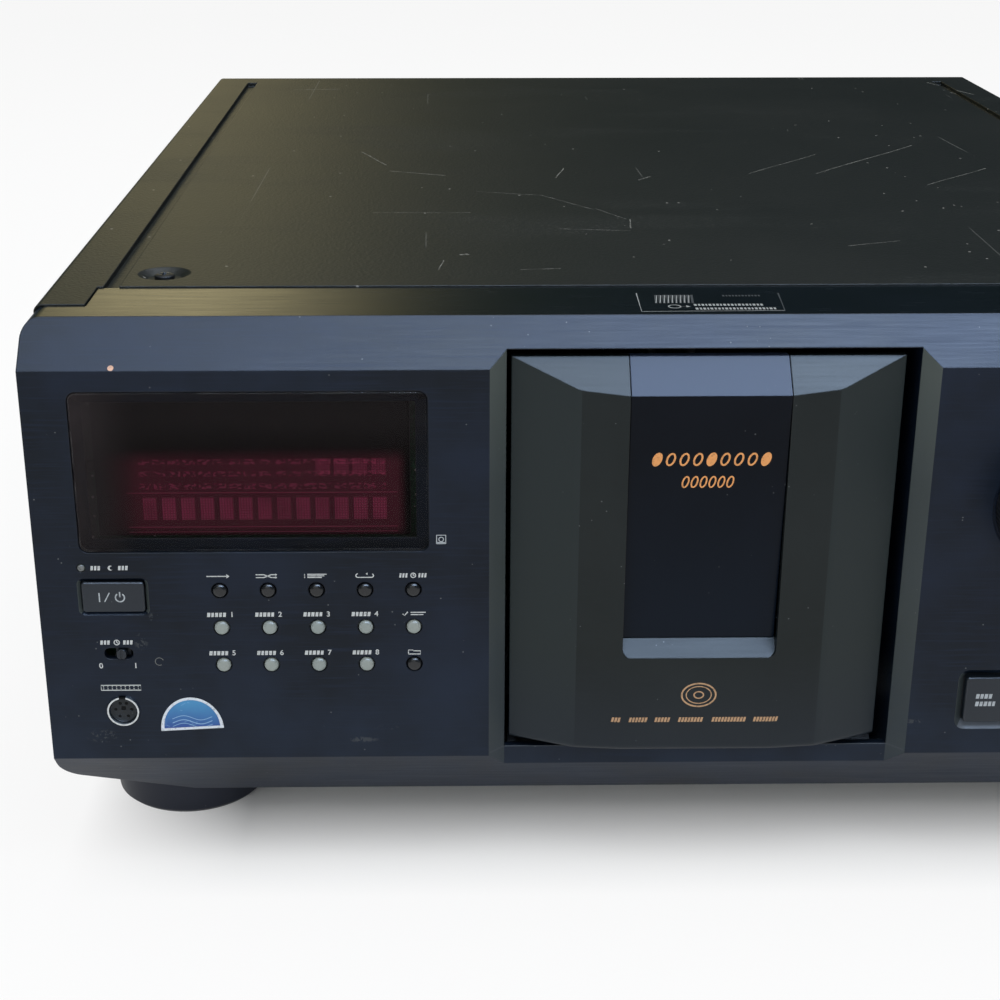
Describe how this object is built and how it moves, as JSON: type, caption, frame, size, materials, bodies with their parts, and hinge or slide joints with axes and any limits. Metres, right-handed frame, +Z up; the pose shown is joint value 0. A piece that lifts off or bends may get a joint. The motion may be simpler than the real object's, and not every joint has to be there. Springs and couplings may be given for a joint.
{
  "type": "disc changer",
  "caption": "Disc changer in a steel case: a motor-driven front door, a rotary table of radial disc slots, a disc deck inside the table's ring, keys and a jog dial.",
  "frame": {"origin": "middle of the footprint, on the surface it stands on", "axes": "+Z up, -Y out of the front, +X to the right seen from the front"},
  "size_m": [0.43, 0.545, 0.189],
  "materials": {
    "fascia_black": "fine texture",
    "cover_black": "fine textured paint",
    "steel_plate": "plated sheet",
    "foot_black": "satin",
    "smoked_window": "gloss",
    "display_glass": "clear",
    "board_green": "lacquered",
    "key_black": "satin",
    "button_black": "satin",
    "button_grey": "satin",
    "jack_chrome": "bright",
    "door_black": "satin",
    "inlay_black": "gloss",
    "moulding_grey": "plain",
    "gear_white": "plain",
    "pin_steel": "ground",
    "motor_steel": "plated",
    "table_grey": "plain",
    "screw_black": "blackened",
    "pickup_black": "plain",
    "transformer_iron": "laminated",
    "gland_black": "plain"
  },
  "bodies": {
    "case": {"front_panel": "fascia_black", "display_window": "smoked_window", "display_tube": "display_glass", "front_board": "board_green", "keyboard_jack": "jack_chrome", "door_hinge_pins": "pin_steel", "door_motor": "motor_steel", "top_cover": "cover_black", "chassis_base": "steel_plate", "rear_panel": "cover_black", "foot_front_left": "foot_black", "foot_front_right": "foot_black", "foot_rear_left": "foot_black", "foot_rear_right": "foot_black", "case_screws": "screw_black", "jack_panel": "key_black", "cord_gland": "gland_black", "table_bearing_ring": "gear_white", "table_motor": "motor_steel", "deck_frame": "moulding_grey", "spindle_motor": "motor_steel", "pickup_rods": "pin_steel", "clamp_motor": "motor_steel", "loading_motor": "motor_steel", "main_board": "board_green", "power_transformer": "transformer_iron"},
    "door": {"door_panel": "door_black", "door_window": "inlay_black", "door_carrier": "moulding_grey"},
    "door_gear": {"door_drive_gear": "gear_white"},
    "table": {"rotary_table": "table_grey"},
    "table_gear": {"table_drive_gear": "gear_white"},
    "lever": {"loading_lever": "moulding_grey"},
    "lever_gear": {"loading_drive_gear": "gear_white"},
    "clamp": {"clamp_arm": "gear_white"},
    "clamp_gear": {"clamp_drive_gear": "gear_white"},
    "spindle": {"spindle_turntable": "pickup_black"},
    "pickup": {"optical_pickup": "pickup_black"},
    "power_button": {"power_button": "key_black"},
    "open_close_button": {"open_close_button": "key_black"},
    "stop_button": {"stop_button": "key_black"},
    "pause_button": {"pause_button": "key_black"},
    "play_button": {"play_button": "key_black"},
    "continue_button": {"continue_button": "button_black"},
    "shuffle_button": {"shuffle_button": "button_black"},
    "program_button": {"program_button": "button_black"},
    "repeat_button": {"repeat_button": "button_black"},
    "time_button": {"time_button": "button_black"},
    "group_1_button": {"group_1_button": "button_grey"},
    "group_2_button": {"group_2_button": "button_grey"},
    "group_3_button": {"group_3_button": "button_grey"},
    "group_4_button": {"group_4_button": "button_grey"},
    "hit_list_button": {"hit_list_button": "button_grey"},
    "group_5_button": {"group_5_button": "button_grey"},
    "group_6_button": {"group_6_button": "button_grey"},
    "group_7_button": {"group_7_button": "button_grey"},
    "group_8_button": {"group_8_button": "button_grey"},
    "group_file_button": {"group_file_button": "button_black"},
    "timer_knob": {"timer_slider": "key_black"},
    "dial": {"jog_dial": "key_black"}
  },
  "joints": [
    {"name": "door_hinge", "type": "hinge", "parent": "case", "child": "door", "pos_m": [0, -0.2305, 0.03], "axis": [1, 0, 0], "range_deg": [0, 75]},
    {"name": "door_gear_spin", "type": "hinge", "parent": "case", "child": "door_gear", "pos_m": [0.059, -0.2195, 0.04905], "axis": [1, 0, 0], "range_deg": [-205, 5]},
    {"name": "table_spin", "type": "hinge", "parent": "case", "child": "table", "pos_m": [0, -0.0045, 0.034], "axis": [0, 0, 1], "continuous": true},
    {"name": "table_gear_spin", "type": "hinge", "parent": "case", "child": "table_gear", "pos_m": [-0.068, -0.0045, 0.028], "axis": [0, 0, 1], "continuous": true},
    {"name": "lever_swing", "type": "hinge", "parent": "case", "child": "lever", "pos_m": [0.13, 0.1605, 0.165], "axis": [0, 0, 1], "range_deg": [0, 50]},
    {"name": "lever_gear_spin", "type": "hinge", "parent": "case", "child": "lever_gear", "pos_m": [0.156, 0.1605, 0.162], "axis": [0, 0, 1], "range_deg": [-170, 5]},
    {"name": "clamp_swing", "type": "hinge", "parent": "case", "child": "clamp", "pos_m": [0.02625, -0.0045, 0.048], "axis": [0, -1, 0], "range_deg": [0, 4]},
    {"name": "clamp_gear_spin", "type": "hinge", "parent": "case", "child": "clamp_gear", "pos_m": [0.02625, 0.0085, 0.032], "axis": [0, -1, 0], "range_deg": [-10, 1]},
    {"name": "spindle_spin", "type": "hinge", "parent": "case", "child": "spindle", "pos_m": [-0.002, -0.0045, 0.097], "axis": [1, 0, 0], "continuous": true},
    {"name": "pickup_slide", "type": "slide", "parent": "case", "child": "pickup", "axis": [0, 0, -1], "range_m": [0, 0.026]},
    {"name": "power_press", "type": "slide", "parent": "case", "child": "power_button", "axis": [0, 1, 0], "range_m": [0, 0.0015], "stiffness_N_per_m": 400, "springref_m": -0.0005},
    {"name": "open_close_press", "type": "slide", "parent": "case", "child": "open_close_button", "axis": [0, 1, 0], "range_m": [0, 0.0015], "stiffness_N_per_m": 400, "springref_m": -0.0005},
    {"name": "stop_press", "type": "slide", "parent": "case", "child": "stop_button", "axis": [0, 1, 0], "range_m": [0, 0.0015], "stiffness_N_per_m": 400, "springref_m": -0.0005},
    {"name": "pause_press", "type": "slide", "parent": "case", "child": "pause_button", "axis": [0, 1, 0], "range_m": [0, 0.0015], "stiffness_N_per_m": 400, "springref_m": -0.0005},
    {"name": "play_press", "type": "slide", "parent": "case", "child": "play_button", "axis": [0, 1, 0], "range_m": [0, 0.0015], "stiffness_N_per_m": 400, "springref_m": -0.0005},
    {"name": "continue_press", "type": "slide", "parent": "case", "child": "continue_button", "axis": [0, 1, 0], "range_m": [0, 0.0009], "stiffness_N_per_m": 400, "springref_m": -0.0004},
    {"name": "shuffle_press", "type": "slide", "parent": "case", "child": "shuffle_button", "axis": [0, 1, 0], "range_m": [0, 0.0009], "stiffness_N_per_m": 400, "springref_m": -0.0004},
    {"name": "program_press", "type": "slide", "parent": "case", "child": "program_button", "axis": [0, 1, 0], "range_m": [0, 0.0009], "stiffness_N_per_m": 400, "springref_m": -0.0004},
    {"name": "repeat_press", "type": "slide", "parent": "case", "child": "repeat_button", "axis": [0, 1, 0], "range_m": [0, 0.0009], "stiffness_N_per_m": 400, "springref_m": -0.0004},
    {"name": "time_press", "type": "slide", "parent": "case", "child": "time_button", "axis": [0, 1, 0], "range_m": [0, 0.0009], "stiffness_N_per_m": 400, "springref_m": -0.0004},
    {"name": "group_1_press", "type": "slide", "parent": "case", "child": "group_1_button", "axis": [0, 1, 0], "range_m": [0, 0.0009], "stiffness_N_per_m": 400, "springref_m": -0.0004},
    {"name": "group_2_press", "type": "slide", "parent": "case", "child": "group_2_button", "axis": [0, 1, 0], "range_m": [0, 0.0009], "stiffness_N_per_m": 400, "springref_m": -0.0004},
    {"name": "group_3_press", "type": "slide", "parent": "case", "child": "group_3_button", "axis": [0, 1, 0], "range_m": [0, 0.0009], "stiffness_N_per_m": 400, "springref_m": -0.0004},
    {"name": "group_4_press", "type": "slide", "parent": "case", "child": "group_4_button", "axis": [0, 1, 0], "range_m": [0, 0.0009], "stiffness_N_per_m": 400, "springref_m": -0.0004},
    {"name": "hit_list_press", "type": "slide", "parent": "case", "child": "hit_list_button", "axis": [0, 1, 0], "range_m": [0, 0.0009], "stiffness_N_per_m": 400, "springref_m": -0.0004},
    {"name": "group_5_press", "type": "slide", "parent": "case", "child": "group_5_button", "axis": [0, 1, 0], "range_m": [0, 0.0009], "stiffness_N_per_m": 400, "springref_m": -0.0004},
    {"name": "group_6_press", "type": "slide", "parent": "case", "child": "group_6_button", "axis": [0, 1, 0], "range_m": [0, 0.0009], "stiffness_N_per_m": 400, "springref_m": -0.0004},
    {"name": "group_7_press", "type": "slide", "parent": "case", "child": "group_7_button", "axis": [0, 1, 0], "range_m": [0, 0.0009], "stiffness_N_per_m": 400, "springref_m": -0.0004},
    {"name": "group_8_press", "type": "slide", "parent": "case", "child": "group_8_button", "axis": [0, 1, 0], "range_m": [0, 0.0009], "stiffness_N_per_m": 400, "springref_m": -0.0004},
    {"name": "group_file_press", "type": "slide", "parent": "case", "child": "group_file_button", "axis": [0, 1, 0], "range_m": [0, 0.0009], "stiffness_N_per_m": 400, "springref_m": -0.0004},
    {"name": "timer_slide", "type": "slide", "parent": "case", "child": "timer_knob", "axis": [1, 0, 0], "range_m": [-0.0037, 0.0017]},
    {"name": "dial_spin", "type": "hinge", "parent": "case", "child": "dial", "pos_m": [0.111, -0.2545, 0.1286], "axis": [0, -1, 0], "continuous": true}
  ],
  "couplings": [
    {"joint": "door_gear_spin", "follows": "door_hinge", "ratio": -2.6667},
    {"joint": "table_gear_spin", "follows": "table_spin", "ratio": 5.25},
    {"joint": "lever_gear_spin", "follows": "lever_swing", "ratio": -3.3333},
    {"joint": "clamp_gear_spin", "follows": "clamp_swing", "ratio": -2.3333}
  ]
}
